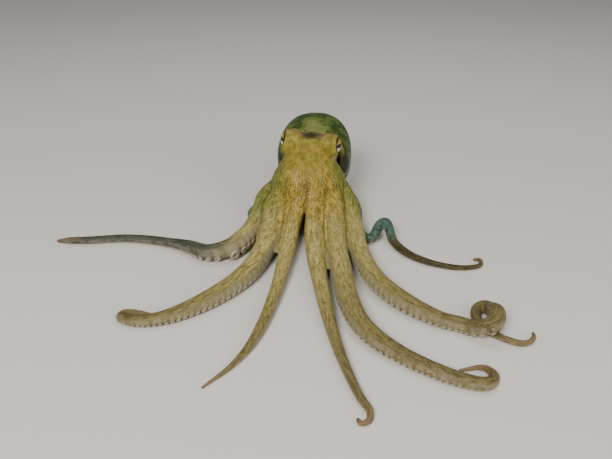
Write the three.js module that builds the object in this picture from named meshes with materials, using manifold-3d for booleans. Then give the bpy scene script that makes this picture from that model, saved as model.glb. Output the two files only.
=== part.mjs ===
// A young common octopus (Octopus vulgaris) sitting on flat ground: head raised over the arm crown,
// mantle sac lying behind it, eight arms spread over the ground in front and to the sides.
// Millimetres, +Z up. The animal faces -Y, so its right side is at -X and its left side at +X.
// All routes and centres are given from the crown axis, the upright line through the mouth.

import * as THREE from 'three';
import { mergeVertices } from 'three/addons/utils/BufferGeometryUtils.js';
import Module from 'manifold-3d';

const wasm = await Module();
wasm.setup();

// ---------------------------------------------------------------- driving dimensions

const CROWN_AXIS = { x: 23.1, y: 56.7 };   // where the crown axis stands in the part's own frame
const GAP = 0.3;                           // clearance between pieces that touch

const HEAD = {
  yaw: 8,                                  // degrees, the face is turned towards -X
  roll: 4.5,                               // degrees, the right eye stands a little higher
  skull: { centre: [0.1, 1.5, 40.0], half: [16.4, 14.6, 12.6] },
  brow: { centre: [0.2, -3.5, 44.5], half: [11.5, 9.0, 7.0] },
  nape: { centre: [1.4, 15.0, 38.5], half: [11.5, 17.0, 10.8] },
  eyeMound: { side: 10.4, forward: 3.2, height: 47.8, radius: 7.3 },
};
const EYE = { side: 13.1, forward: 3.6, height: 48.3, radius: 5.2 };

const CROWN = { halfX: 1.0, halfY: 0.84, shiftX: -1.2, shiftY: -2.6 };   // shares of the profile, mm
// radius and height down the outside of the crown and back in under it to the mouth
const CROWN_PROFILE = [
  [0, 40.5], [10, 40], [15.5, 37.2], [18.3, 33], [21.2, 28.2], [23, 23.4],
  [23.2, 18.8], [20.5, 15.4], [14, 14.2], [7, 15.4], [3.2, 17.4], [0, 17.9],
];

const MANTLE = {
  yaw: 5,                                  // degrees, the sac lies back and a little to +X
  centre: [3.0, 37.0],                     // of the sac, from the crown axis
  length: 34, width: 24.2, height: 27.0,   // half sizes
  seat: 24.8,                              // height of the sac's middle
  squareness: 0.86,                        // below 1, the sac's cross-section is fuller than an ellipse
  taper: 2.3, blunt: 0.92,                 // powers of the outline: high taper keeps the width longer
  rimRise: 7.0, rimFlatten: 0.3,           // the open front end sits higher and is less tall
  rimAt: -0.66,                            // place of the rim along the sac
  frontEnd: 0.75,                          // share of the half length over which the rim's rise comes in
  throat: [[0.74, -0.60], [0.60, -0.34], [0, -0.22]],
};
const SIPHON = {
  root: [-5.0, 16.5, 21.5],
  tip: [-14.2, 8.2, 25.8],
  rootR: 4.4, tipR: 2.7,
  bore: 1.5, deep: 7,                      // radius and depth of the open end
};

const REST = 0.9;                          // height of a lying arm's middle, as a share of its radius
const RISE = { height: 24, from: 10, fall: 17 };      // how arms climb from the ground to the crown
const REAR_RISE = { height: 15, from: 10, fall: 11 }; // the fourth pair climbs less

// Each arm: its route over the ground as [x, y, radius] and the extra height of stretches that are
// lifted, as [arc length, height, half length]. The lengths it is parted into end at the cuts, and
// those that bend sharply are named as folded.
const ARMS = {
  right_1: {
    route: [[-2.8, -8.6, 5.6], [-6.1, -18, 5.1], [-9, -28.5, 4.7], [-11, -38.5, 4.8], [-13.1, -58.4, 4.7],
      [-17.6, -94.8, 3.3], [-24, -126.7, 2.5], [-28.7, -140.4, 1.8], [-34.5, -150.8, 1.2],
      [-44.8, -163.5, 0.5]],
    cuts: [62, 118],
  },
  left_1: {
    route: [[1.3, -8.9, 5.6], [1.7, -18.8, 5.1], [1.5, -29, 4.9], [1, -44, 5.2], [2, -59, 5.1],
      [3.7, -79.4, 4.5], [6.8, -110.7, 3.5], [10.7, -137.8, 2.6], [15.6, -160, 2], [18.6, -170.5, 1.8],
      [21.7, -177.4, 1.6], [20.9, -182.6, 1.3], [17.6, -184, 1], [16.4, -180, 0.7]],
    cuts: [64, 124],
  },
  right_2: {
    route: [[-8.2, -3.7, 5.6], [-17.2, -8.2, 5.6], [-22.3, -17, 6], [-23.1, -31.5, 6.1], [-24.8, -53.1, 6],
      [-34.3, -83.7, 5.4], [-52.3, -107, 4.5], [-69.2, -118.3, 3.4], [-81.5, -119.8, 2.8],
      [-89, -116.2, 2.2], [-88.4, -112.3, 1.8], [-83.6, -111.4, 1.5], [-74, -112.8, 0.7]],
    cuts: [66, 118],
  },
  left_2: {
    route: [[6.9, -5.8, 5.6], [13, -13.4, 5.5], [14.2, -26.9, 5.8], [13.9, -49.7, 5.8], [15, -74, 5.8],
      [18.2, -111, 5.3], [24.6, -130.3, 4.7], [40, -148, 3.7], [60.9, -161.6, 3.2], [69.8, -163, 2.9],
      [73.8, -157.2, 2.1], [71, -151.6, 1.4], [60.3, -152.7, 0.6]],
    cuts: [70, 130, 182],
  },
  right_3: {
    route: [[-8.7, 2.5, 5.6], [-18.6, 4.4, 5.5], [-27, -2, 6], [-29.6, -14, 6], [-32.2, -29.2, 6],
      [-36.7, -43.1, 6], [-45.5, -56.8, 5.7], [-56, -58.8, 4.8], [-67.4, -50.8, 3.9], [-79, -44.4, 2.9],
      [-105.3, -37.9, 2.4], [-126.4, -39.9, 2.3], [-138, -39.7, 2], [-146.4, -38.4, 0.8]],
    cuts: [62, 112],
  },
  left_3: {
    route: [[9, 0.3, 5.6], [18, -2.4, 5.5], [22.4, -10, 5.6], [24.3, -23, 5.6], [25.4, -39, 5.5],
      [26, -58.4, 5.5], [31.8, -85.9, 5.3], [43.2, -105.9, 4.9], [58.6, -119.8, 3.8], [68.7, -124.5, 3.7],
      [73.5, -128.1, 4], [78, -130.3, 4.1], [81.9, -127.3, 4.1], [83.7, -115.6, 3.7], [82.2, -108.7, 3.2],
      [78.7, -109.8, 2.9], [76.5, -114.5, 2.6], [76.4, -120.4, 2.2], [79, -125.8, 1.9], [85, -131.8, 1.6],
      [91.9, -135.3, 1.5], [96, -133.8, 1.3], [99.1, -129.6, 1], [99.7, -125.8, 0.6]],
    lifts: [[178, 5.6, 17]],
    cuts: [66, 120, 162, 204],
    folded: ['tip'],
  },
  left_4: {
    route: [[5.8, 6.9, 5.2], [13.6, 12.6, 5.2], [24, 10.6, 4.6], [28.4, -2, 3.6], [27.8, -20, 3.2],
      [28.6, -30, 3], [30.4, -36.2, 2.9], [33.7, -39.4, 2.9], [36.9, -36, 3], [39.9, -31.2, 3.1],
      [43.4, -29.4, 3], [45.2, -33.6, 2.8], [46.6, -40.2, 2.6], [49, -48.4, 2.5], [55.4, -58.4, 2.2],
      [66.8, -66.6, 1.8], [81, -70, 1.5], [90.2, -66.8, 1.3], [91.4, -60.6, 1.1], [87.8, -59.8, 0.7]],
    lifts: [[97, 5.4, 13]],
    cuts: [60, 104],
    folded: ['middle'],
    rear: true,
  },
  right_4: {
    route: [[-4.5, 7.8, 5.2], [-13, 13.4, 5.2], [-24, 10.5, 4.6], [-31.5, 2.6, 3.4], [-36.2, -6, 2.9],
      [-33.4, -13.2, 2.6], [-25.5, -12.4, 2.4], [-18.5, -3, 2.2], [-15.5, 8, 2], [-16, 19, 1.8],
      [-20, 31, 1.5], [-20.5, 41, 1.2], [-15.5, 45, 0.7]],
    cuts: [58, 100],
    rear: true,
  },
};
const LENGTH_TITLES = {                    // names of an arm's lengths, by its number of cuts
  2: ['base', 'middle', 'tip'],
  3: ['base', 'middle', 'outer', 'tip'],
  4: ['base', 'middle', 'outer', 'tip', 'curl'],
};
const SEAM = 0.35;                         // gap between two lengths of one arm
const ARM_ROOM = 0.5;                      // clearance round an arm, over bends that its facets cut short
const SIDES = 8;                           // of an arm's section
const STEP = { thick: 6.2, slim: 3.8, folded: 2.6 };  // spacing of the rings along an arm's lengths
const LEG_SAMPLES = 40;                    // samples of a route for each of its points
const LOOK = 0.5;                          // mm ahead and behind, for the direction of an arm

// Each web sector: the two arms it joins, how far out along them its edge lies, in mm of arc at the
// arms and at the middle of the edge, and its thickness. Where two arms lie side by side, the sector
// is thick enough to fill the furrow between them. There is no room for the other sectors: the first
// pair part at the crown's edge, the second and third arms of a side lie hard against each other as
// far as their web would reach, and the mantle fills the place between the fourth pair.
const WEB = { lift: 0.34, sag: 1.2, inner: 12, across: 6, along: 5, edge: 0.55 };
const WEBS = {
  web_right_1_2: ['right_1', 'right_2', 60, 44, 3.2],
  web_right_3_4: ['right_3', 'right_4', 44, 32, 3],
  web_left_1_2: ['left_2', 'left_1', 60, 46, 3.2],
  web_left_3_4: ['left_4', 'left_3', 44, 32, 2.4],
};

// Facets round and along the rounded bodies.
const FACETS = {
  skull: [16, 11], nape: [14, 9], brow: [12, 8], eyeMound: [12, 8], eyeBall: [12, 8],
  crown: 20, mantle: 20, mantleRows: 11, siphon: 12,
};
const WELD = 1e-4;                         // vertices nearer than this are one

// ---------------------------------------------------------------- skin colours

const SKIN = { ochre: 0xb19c58, green: 0x66793a, grey: 0x8d8468, teal: 0x4d7a68, web: 0xa8954f };
const skin = (hex) => new THREE.MeshStandardMaterial({ color: hex, roughness: 0.55, metalness: 0 });
const eyeSkin = () => new THREE.MeshStandardMaterial({ color: 0xc98a2e, roughness: 0.15, metalness: 0 });

// ---------------------------------------------------------------- solids

function toSolid(geometry) {
  const bare = geometry.index ? geometry.toNonIndexed() : geometry.clone();
  bare.deleteAttribute('normal');
  bare.deleteAttribute('uv');
  const merged = mergeVertices(bare, WELD);
  const index = Array.from(merged.index.array);
  const triVerts = [];
  for (let i = 0; i < index.length; i += 3) {
    const [a, b, c] = index.slice(i, i + 3);
    if (a !== b && b !== c && c !== a) triVerts.push(a, b, c);
  }
  const mesh = new wasm.Mesh({
    numProp: 3,
    vertProperties: new Float32Array(merged.attributes.position.array),
    triVerts: new Uint32Array(triVerts),
  });
  return new wasm.Manifold(mesh);
}

function toGeometry(solid) {
  const mesh = solid.getMesh();
  const geometry = new THREE.BufferGeometry();
  geometry.setAttribute('position', new THREE.BufferAttribute(Float32Array.from(mesh.vertProperties), 3));
  geometry.setIndex(Array.from(mesh.triVerts));
  geometry.computeVertexNormals();
  return geometry;
}

function largestBody(solid) {
  const bodies = solid.decompose();
  return bodies.reduce((best, body) => (body.volume() > best.volume() ? body : best));
}

// Moves every vertex of a geometry to the place that a function gives for it.
function shaped(geometry, place) {
  const position = geometry.attributes.position;
  const vertex = new THREE.Vector3();
  for (let i = 0; i < position.count; i += 1) {
    vertex.fromBufferAttribute(position, i);
    const moved = place(vertex.clone());
    position.setXYZ(i, moved.x, moved.y, moved.z);
  }
  return geometry;
}

const turned = (x, y, degrees) => {
  const angle = THREE.MathUtils.degToRad(degrees);
  return [x * Math.cos(angle) - y * Math.sin(angle), x * Math.sin(angle) + y * Math.cos(angle)];
};

function ellipsoid({ centre, half }, grow, facets) {
  const sphere = new THREE.SphereGeometry(1, ...facets);
  sphere.scale(half[0] + grow, half[1] + grow, half[2] + grow);
  sphere.translate(...centre);
  return sphere;
}

// ---------------------------------------------------------------- head and eyes

// A point given by its side, forward and height in the head's own turned and rolled axes.
function headPoint(side, forward, height) {
  const roll = THREE.MathUtils.degToRad(HEAD.roll);
  const level = HEAD.skull.centre[2];
  const rolledSide = side * Math.cos(roll) + (height - level) * Math.sin(roll);
  const rolledHeight = level - side * Math.sin(roll) + (height - level) * Math.cos(roll);
  const [x, y] = turned(rolledSide, -forward, -HEAD.yaw);
  return new THREE.Vector3(x, y, rolledHeight);
}

function eyeBall(side, grow) {
  const ball = new THREE.SphereGeometry(EYE.radius + grow, ...FACETS.eyeBall);
  const at = headPoint(side * EYE.side, EYE.forward, EYE.height);
  return ball.translate(at.x, at.y, at.z);
}

function headSolid(grow) {
  let head = toSolid(ellipsoid(HEAD.skull, grow, FACETS.skull));
  head = head.add(toSolid(ellipsoid(HEAD.nape, grow, FACETS.nape)));
  head = head.add(toSolid(ellipsoid(HEAD.brow, grow, FACETS.brow)));
  for (const side of [-1, 1]) {
    const mound = new THREE.SphereGeometry(HEAD.eyeMound.radius + grow, ...FACETS.eyeMound);
    const at = headPoint(side * HEAD.eyeMound.side, HEAD.eyeMound.forward, HEAD.eyeMound.height);
    head = head.add(toSolid(mound.translate(at.x, at.y, at.z)));
  }
  return head;
}

// ---------------------------------------------------------------- crown

function crownSolid(grow) {
  const outline = CROWN_PROFILE.map(([radius, height], i) => {
    const before = CROWN_PROFILE[Math.max(i - 1, 0)];
    const after = CROWN_PROFILE[Math.min(i + 1, CROWN_PROFILE.length - 1)];
    const run = new THREE.Vector2(after[0] - before[0], after[1] - before[1]).normalize();
    const out = new THREE.Vector2(-run.y, run.x).multiplyScalar(grow);
    return new THREE.Vector2(radius === 0 ? 0 : radius + out.x, height + out.y);
  });
  outline.reverse();
  const lathe = new THREE.LatheGeometry(outline, FACETS.crown);
  lathe.rotateX(Math.PI / 2);
  lathe.scale(CROWN.halfX, CROWN.halfY, 1);
  lathe.translate(CROWN.shiftX, CROWN.shiftY, 0);
  return toSolid(lathe);
}

// ---------------------------------------------------------------- mantle and siphon

// Half width of the sac, as a share of its widest, at a place along it from -1, front, to 1, rear.
const sacSwell = (along) => Math.sqrt(Math.max(0, 1 - Math.abs(along) ** MANTLE.taper)) ** MANTLE.blunt;

function mantlePlace(share, along, angle, grow) {
  const front = THREE.MathUtils.smoothstep(-along, 0, MANTLE.frontEnd);
  const full = (value) => Math.sign(value) * Math.abs(value) ** MANTLE.squareness;
  const side = full(Math.cos(angle)) * share * (MANTLE.width + grow);
  const lift = MANTLE.seat + MANTLE.rimRise * front;
  const tall = (MANTLE.height + grow) * (1 - MANTLE.rimFlatten * front);
  const [x, y] = turned(side, along * (MANTLE.length + grow), -MANTLE.yaw);
  const height = lift + full(Math.sin(angle)) * share * tall;
  return new THREE.Vector3(MANTLE.centre[0] + x, MANTLE.centre[1] + y, Math.max(0, height));
}

// The sac with its open throat, or, where a gap to grow is given, the closed room that it needs.
function mantleSolid(grow) {
  const rows = FACETS.mantleRows;
  const rim = MANTLE.rimAt - (2 * grow) / MANTLE.length;
  const throat = grow === 0 ? MANTLE.throat : [[0, rim]];
  const outline = [];
  for (let i = 0; i <= rows; i += 1) {
    const along = Math.cos((i / rows) * Math.acos(rim));
    outline.push(new THREE.Vector2(i === 0 ? 0 : sacSwell(along), along));
  }
  for (const [share, along] of throat) outline.push(new THREE.Vector2(share, along));
  outline.reverse();
  const lathe = new THREE.LatheGeometry(outline, FACETS.mantle);
  const place = (v) => mantlePlace(Math.hypot(v.x, v.z), v.y, Math.atan2(v.z, v.x), grow);
  return toSolid(shaped(lathe, place));
}

function siphonSolid(grow) {
  const root = new THREE.Vector3(...SIPHON.root);
  const axis = new THREE.Vector3(...SIPHON.tip).sub(root);
  const length = axis.length();
  const outline = [[0, 0], [SIPHON.rootR + grow, 0], [SIPHON.tipR + grow, length + grow]];
  if (grow === 0) outline.push([SIPHON.bore, length], [SIPHON.bore, length - SIPHON.deep]);
  outline.push([0, outline[outline.length - 1][1]]);
  const lathe = new THREE.LatheGeometry(outline.map(([r, h]) => new THREE.Vector2(r, h)), FACETS.siphon);
  const turn = new THREE.Quaternion().setFromUnitVectors(new THREE.Vector3(0, 1, 0), axis.normalize());
  return toSolid(lathe.applyQuaternion(turn).translate(root.x, root.y, root.z));
}

// ---------------------------------------------------------------- arms

// An arm's centreline, with its radius and height at each arc length over the ground.
function armPath(arm) {
  const plan = new THREE.CatmullRomCurve3(
    arm.route.map(([x, y]) => new THREE.Vector3(x, y, 0)), false, 'centripetal');
  const samples = arm.route.length * LEG_SAMPLES;
  const ground = [];
  let run = Math.hypot(arm.route[0][0], arm.route[0][1]);
  let last = plan.getPoint(0);
  for (let i = 0; i <= samples; i += 1) {
    const t = i / samples;
    const point = plan.getPoint(t);
    run += point.distanceTo(last);
    last = point;
    const place = t * (arm.route.length - 1);
    const k = Math.min(Math.floor(place), arm.route.length - 2);
    const radius = THREE.MathUtils.lerp(arm.route[k][2], arm.route[k + 1][2], place - k);
    ground.push({ run, x: point.x, y: point.y, radius });
  }
  const rise = arm.rear ? REAR_RISE : RISE;
  for (const sample of ground) {
    sample.z = REST * sample.radius + rise.height * Math.exp((rise.from - sample.run) / rise.fall);
    for (const [at, height, half] of arm.lifts ?? []) {
      const near = THREE.MathUtils.clamp(1 - Math.abs(sample.run - at) / half, 0, 1);
      sample.z += height * near * near * (3 - 2 * near);
    }
  }
  return ground;
}

function atRun(path, run) {
  let k = path.findIndex((sample) => sample.run >= run);
  if (k < 1) k = k === 0 ? 1 : path.length - 1;
  const [a, b] = [path[k - 1], path[k]];
  const t = (run - a.run) / (b.run - a.run);
  const mix = (key) => THREE.MathUtils.lerp(a[key], b[key], t);
  return { point: new THREE.Vector3(mix('x'), mix('y'), mix('z')), radius: mix('radius') };
}

// A closed, tapering length of arm between two places along its path, its underside levelled where
// the suckers meet the ground.
function armLength(path, from, to, grow, step) {
  const steps = Math.max(2, Math.round((to - from) / step));
  const drum = new THREE.CylinderGeometry(1, 1, 1, SIDES, steps);
  const phase = Math.PI / SIDES;
  return toSolid(shaped(drum, (v) => {
    const run = THREE.MathUtils.lerp(from, to, v.y + 0.5);
    const { point, radius } = atRun(path, run);
    const ahead = atRun(path, run + LOOK).point.sub(atRun(path, run - LOOK).point).normalize();
    const side = new THREE.Vector3().crossVectors(ahead, new THREE.Vector3(0, 0, 1)).normalize();
    const up = new THREE.Vector3().crossVectors(side, ahead);
    const share = Math.hypot(v.x, v.z);
    const angle = Math.atan2(v.z, v.x) + phase;
    const across = Math.cos(angle) * share * (radius + grow);
    const rise = Math.sin(angle) * share * (radius + grow);
    const placed = point.clone().addScaledVector(side, across).addScaledVector(up, rise);
    placed.z = Math.max(0, placed.z);
    return placed;
  }));
}

// ---------------------------------------------------------------- webs

// A curved skin between two arms, from under the crown to a thinner, concave free edge.
function webSolid([one, other, atArm, atMiddle, thick]) {
  const sheet = new THREE.BoxGeometry(1, 1, 1, WEB.across, WEB.along, 1);
  return toSolid(shaped(sheet, (v) => {
    const across = v.x + 0.5;
    const bow = Math.sin(Math.PI * across);
    const reach = THREE.MathUtils.lerp(atArm, atMiddle, bow);
    const run = THREE.MathUtils.lerp(WEB.inner, reach, v.y + 0.5);
    const a = atRun(armPaths[one], run);
    const b = atRun(armPaths[other], run);
    const placed = a.point.clone().lerp(b.point, across);
    const radius = THREE.MathUtils.lerp(a.radius, b.radius, across);
    const here = thick * THREE.MathUtils.lerp(1, WEB.edge, v.y + 0.5);
    placed.z += WEB.lift * radius - WEB.sag * bow + v.z * here;
    return placed;
  }));
}

// ---------------------------------------------------------------- the animal

const octopus = new THREE.Group();
const axis = new THREE.Group();
axis.position.set(CROWN_AXIS.x, CROWN_AXIS.y, 0);
octopus.add(axis);

function addPart(name, solid, material) {
  const mesh = new THREE.Mesh(toGeometry(largestBody(solid)), material);
  mesh.name = name;
  axis.add(mesh);
}

const armPaths = Object.fromEntries(Object.entries(ARMS).map(([name, arm]) => [name, armPath(arm)]));

const crown = crownSolid(0);
const crownRoom = crownSolid(GAP);
const siphonRoom = siphonSolid(GAP);
const eyeRoom = toSolid(eyeBall(-1, GAP)).add(toSolid(eyeBall(1, GAP)));
const head = headSolid(0).subtract(crownRoom).subtract(eyeRoom).subtract(siphonRoom);
const headRoom = headSolid(GAP);
const mantle = mantleSolid(0).subtract(headRoom).subtract(crownRoom).subtract(siphonRoom);
const bodyRoom = headRoom.add(crownRoom).add(mantleSolid(GAP)).add(siphonRoom);

addPart('head', head, skin(SKIN.ochre));
addPart('eye_right', toSolid(eyeBall(-1, 0)), eyeSkin());
addPart('eye_left', toSolid(eyeBall(1, 0)), eyeSkin());
addPart('mantle', mantle, skin(SKIN.green));
addPart('siphon', siphonSolid(0).subtract(crownRoom), skin(SKIN.green));
addPart('arm_crown', crown, skin(SKIN.ochre));

let taken = bodyRoom;                      // the room of all that is already placed, and its gap
for (const [name, arm] of Object.entries(ARMS)) {
  const path = armPaths[name];
  const ends = [path[0].run, ...arm.cuts, path[path.length - 1].run];
  const titles = LENGTH_TITLES[arm.cuts.length];
  titles.forEach((title, i) => {
    const straight = i < 2 ? STEP.thick : STEP.slim;
    const step = arm.folded?.includes(title) ? STEP.folded : straight;
    const seam = i === titles.length - 1 ? 0 : SEAM;
    const piece = armLength(path, ends[i], ends[i + 1] - seam, 0, step);
    const far = name === 'left_4' ? SKIN.teal : SKIN.grey;
    const colour = i === 0 ? SKIN.ochre : far;
    addPart(`arm_${name}_${title}`, i < 2 ? piece.subtract(taken) : piece, skin(colour));
  });
  taken = taken.add(armLength(path, ends[0], ends[2], ARM_ROOM, STEP.thick));
}

for (const [name, sector] of Object.entries(WEBS)) {
  addPart(name, webSolid(sector).subtract(taken), skin(SKIN.web));
}

export default octopus;
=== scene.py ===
# A young common octopus, life size, as a still model: one skin over head, mantle, siphon, crown,
# webs and arms, two rows of suckers under each arm, and the eyes. It faces -Y, so its right side is
# at -X. Shapes are worked out in millimetres and made metres when each piece is finished.
import math

import bmesh
import bpy
import numpy as np
from mathutils import Matrix, Vector


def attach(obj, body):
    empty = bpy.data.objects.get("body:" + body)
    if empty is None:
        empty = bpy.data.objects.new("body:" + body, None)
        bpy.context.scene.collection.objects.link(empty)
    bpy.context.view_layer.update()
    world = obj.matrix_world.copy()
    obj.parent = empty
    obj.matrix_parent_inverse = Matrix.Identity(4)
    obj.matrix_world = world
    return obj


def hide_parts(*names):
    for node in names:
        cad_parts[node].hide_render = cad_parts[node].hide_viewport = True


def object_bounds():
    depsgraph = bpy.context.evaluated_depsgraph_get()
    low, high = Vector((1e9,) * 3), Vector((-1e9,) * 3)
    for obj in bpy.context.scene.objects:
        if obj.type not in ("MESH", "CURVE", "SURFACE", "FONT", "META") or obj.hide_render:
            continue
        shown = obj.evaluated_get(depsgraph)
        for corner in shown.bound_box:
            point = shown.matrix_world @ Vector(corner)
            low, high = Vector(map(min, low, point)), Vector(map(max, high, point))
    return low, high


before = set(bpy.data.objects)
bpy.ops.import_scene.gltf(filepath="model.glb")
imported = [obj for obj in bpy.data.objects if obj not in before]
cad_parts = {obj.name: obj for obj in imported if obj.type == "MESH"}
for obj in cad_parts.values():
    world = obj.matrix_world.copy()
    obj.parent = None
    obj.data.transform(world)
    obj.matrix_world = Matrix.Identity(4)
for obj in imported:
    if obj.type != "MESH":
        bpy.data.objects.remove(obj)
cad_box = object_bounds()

MM = 0.001
FINE_VOXEL = 0.5
VOXEL = FINE_VOXEL  # grain of the skin before it is thinned, mm
SKIN_TRIANGLES = 194000

# ---------- dimensions, mm

AXIS = Vector((23.1, 56.7, 0.0))  # foot of the upright line through the mouth
HEAD_YAW, HEAD_ROLL, HEAD_LEVEL = 8.0, 4.5, 40.0
SKULL = ((0.1, 1.5, 40.0), (16.4, 14.6, 12.6))
BROW = ((0.2, -3.5, 44.5), (11.5, 9.0, 7.0))
NAPE = ((1.4, 15.0, 37.0), (11.5, 17.0, 10.8))
EYE_MOUND = {"side": 10.4, "forward": 3.2, "height": 47.8, "radius": 7.2}
EYE = {"side": 13.1, "forward": 3.6, "height": 48.3, "radius": 5.1, "play": 0.15}
GAZE = (0.97, 0.12, 0.16)  # side, forward, up: where each eye looks
CHEEK = (-13.4, 6.5, 43.8)  # the raised right cheek, which half closes its eye
CHEEK_RADIUS = 4.0
LID = {"out": 2.2, "ring": 4.7, "thick": 0.9, "tall": 1.08}
MOUTH = {"place": (-1.2, -2.6, 16.2), "ring": 3.4, "thick": 1.3}

CROWN = {"half": (1.0, 0.84), "shift": (-1.2, -2.6)}
CROWN_PROFILE = [
    (0, 40.5), (10, 40), (15.5, 37.2), (18.3, 33), (21.2, 28.2), (23, 23.4),
    (23.2, 18.8), (20.5, 15.4), (14, 14.2), (7, 15.4), (3.2, 17.4), (0, 17.9),
]
MANTLE = {
    "yaw": 5.0, "centre": (3.0, 37.0), "length": 33.9, "width": 24.2, "height": 27.0,
    "seat": 24.8, "square": 0.86, "taper": 2.3, "blunt": 0.92,
    "rise": 7.0, "flatten": 0.3, "rim": -0.66, "front": 0.75,
    "throat": ((0.90, -0.655), (0.80, -0.60), (0.66, -0.34), (0.0, -0.22)),
}
MANTLE_RINGS = 36
SIPHON = {
    "root": (-5.0, 16.5, 21.5), "tip": (-14.2, 8.2, 25.8),
    "root_radius": 4.4, "tip_radius": 2.7, "bore": 1.7, "deep": 7.0,
}

REST = 0.9  # height of a lying arm's middle, as a share of its radius
RISE = (24.0, 10.0, 17.0)  # how arms climb to the crown: height, from, fall
REAR_RISE = (15.0, 10.0, 11.0)

# Each arm: its route from the crown axis as (x, y, radius), the stretches that are lifted as
# (run, height, half length), and how far its suckers are rolled towards its front edge, in degrees
# at places along it.
ARMS = {
    "right_1": {
        "route": [
            (-2.8, -8.6, 5.6), (-6.1, -18, 5), (-9, -28.5, 4.5), (-11, -38.5, 4.7),
            (-13.1, -58.4, 4.7), (-17.6, -94.8, 3.3), (-24, -126.7, 2.5), (-28.7, -140.4, 1.8),
            (-34.5, -150.8, 1.2), (-44.8, -163.5, 0.5),
        ],
        "roll": [(0, 0), (60, 0), (90, 12), (170, 12)],
    },
    "left_1": {
        "route": [
            (1.3, -8.9, 5.6), (1.7, -18.8, 4.9), (1.5, -29, 4.8), (1, -44, 5.1), (2, -59, 5.1),
            (3.7, -79.4, 4.5), (6.8, -110.7, 3.5), (10.7, -137.8, 2.6), (15.6, -160, 2),
            (18.6, -170.5, 1.8), (21.4, -177, 1.5), (20.6, -181.9, 1.3), (17.6, -183.2, 1),
            (16.4, -180, 0.7),
        ],
        "roll": [(0, 0), (60, 0), (90, 8), (200, 8)],
    },
    "right_2": {
        "route": [
            (-8.2, -3.7, 5.6), (-17.2, -8.2, 5.6), (-22.3, -17, 6), (-23.1, -31.5, 6.1),
            (-24.8, -53.1, 6), (-34.3, -83.7, 5.4), (-52.3, -107, 4.5), (-69.2, -118.3, 3.4),
            (-81.5, -119.8, 2.8), (-89, -116.2, 2.2), (-88.4, -112.3, 1.8), (-83.6, -111.4, 1.5),
            (-74, -112.8, 0.7),
        ],
        "roll": [(0, 0), (35, 5), (58, 24), (120, 26), (170, 20), (220, 10)],
    },
    "left_2": {
        "route": [
            (6.9, -5.8, 5.6), (13, -13.4, 5.5), (14.2, -26.9, 5.8), (13.9, -49.7, 5.8),
            (15, -74, 5.8), (18.2, -111, 5.3), (24.6, -130.3, 4.7), (40, -148, 3.7),
            (60.9, -161.6, 3.2), (69.8, -163, 2.9), (73.8, -157.2, 2.1), (71, -151.6, 1.4),
            (60.3, -152.7, 0.6),
        ],
        "roll": [(0, 0), (45, 5), (70, 22), (150, 26), (190, 22), (230, 10)],
    },
    "right_3": {
        "route": [
            (-8.7, 2.5, 5.6), (-18.6, 4.4, 5.5), (-27, -2, 6), (-29.6, -14, 6), (-32.2, -29.2, 6),
            (-36.7, -43.1, 6), (-45.5, -56.8, 5.7), (-56, -58.8, 4.8), (-67.4, -50.8, 3.9),
            (-79, -44.4, 2.9), (-105.3, -37.9, 2.4), (-126.4, -39.9, 2.3), (-138, -39.7, 2),
            (-146.4, -38.4, 0.8),
        ],
        "roll": [(0, 0), (30, 8), (52, 48), (90, 44), (115, 20), (180, 8)],
        "big": [(86, 2.0, 5)],
    },
    "left_3": {
        "route": [
            (9, 0.3, 5.6), (18, -2.4, 5.5), (22.4, -10, 5.6), (24.3, -23, 5.6), (25.4, -39, 5.5),
            (26, -58.4, 5.5), (31.8, -85.9, 5.3), (43.2, -105.9, 4.9), (58.6, -119.8, 3.8),
            (68.7, -124.5, 3.7), (73.5, -128.1, 4), (78, -130.3, 4.1), (81.9, -127.3, 4.1),
            (83.7, -115.6, 3.7), (82.2, -108.7, 3.2), (78.7, -109.8, 2.9), (76.5, -114.5, 2.6),
            (76.4, -120.4, 2.2), (79, -125.8, 1.9), (85, -131.8, 1.6), (91.9, -135.3, 1.5),
            (96, -133.8, 1.3), (99.1, -129.6, 1), (99.7, -125.8, 0.6),
        ],
        "lifts": [(178, 5.6, 17)],
        "roll": [(0, 0), (40, 8), (60, 27), (110, 30), (150, 28), (170, 12), (240, 0)],
    },
    "left_4": {
        "route": [
            (5.8, 6.9, 5.2), (13.6, 12.6, 5.2), (24, 10.6, 4.6), (28.4, -2, 3.6),
            (27.8, -20, 3.2), (28.6, -30, 3), (30.4, -36.2, 2.9), (33.7, -39.4, 2.9),
            (36.9, -36, 3), (39.9, -31.2, 3.1), (43.4, -29.4, 3), (45.2, -33.6, 2.8),
            (46.6, -40.2, 2.6), (49, -48.4, 2.5), (55.4, -58.4, 2.2), (66.8, -66.6, 1.8),
            (81, -70, 1.5), (90.2, -66.8, 1.3), (91.4, -60.6, 1.1), (87.8, -59.8, 0.7),
        ],
        "lifts": [(97, 5.4, 13)],
        "rear": True,
        "roll": [(0, 0), (60, 10), (82, 32), (100, 32), (115, 10), (180, 0)],
    },
    "right_4": {
        "route": [
            (-4.5, 7.8, 5.2), (-13, 13.4, 5.2), (-24, 10.5, 4.6), (-31.5, 2.6, 3.4),
            (-36.2, -6, 2.9), (-33.4, -13.2, 2.6), (-25.5, -12.4, 2.4), (-18.5, -3, 2.2),
            (-15.5, 8, 2), (-16, 19, 1.8), (-20, 31, 1.5), (-20.5, 41, 1.2), (-15.5, 45, 0.7),
        ],
        "rear": True,
        "roll": [(0, 0), (150, 0)],
    },
}
LEG_SAMPLES = 40
STEP = 0.5  # spacing of the samples along an arm
RING_STEP = 1.2  # spacing of the rings of an arm's first shape
TIP_END = 0.15  # radius of an arm's very end

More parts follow.
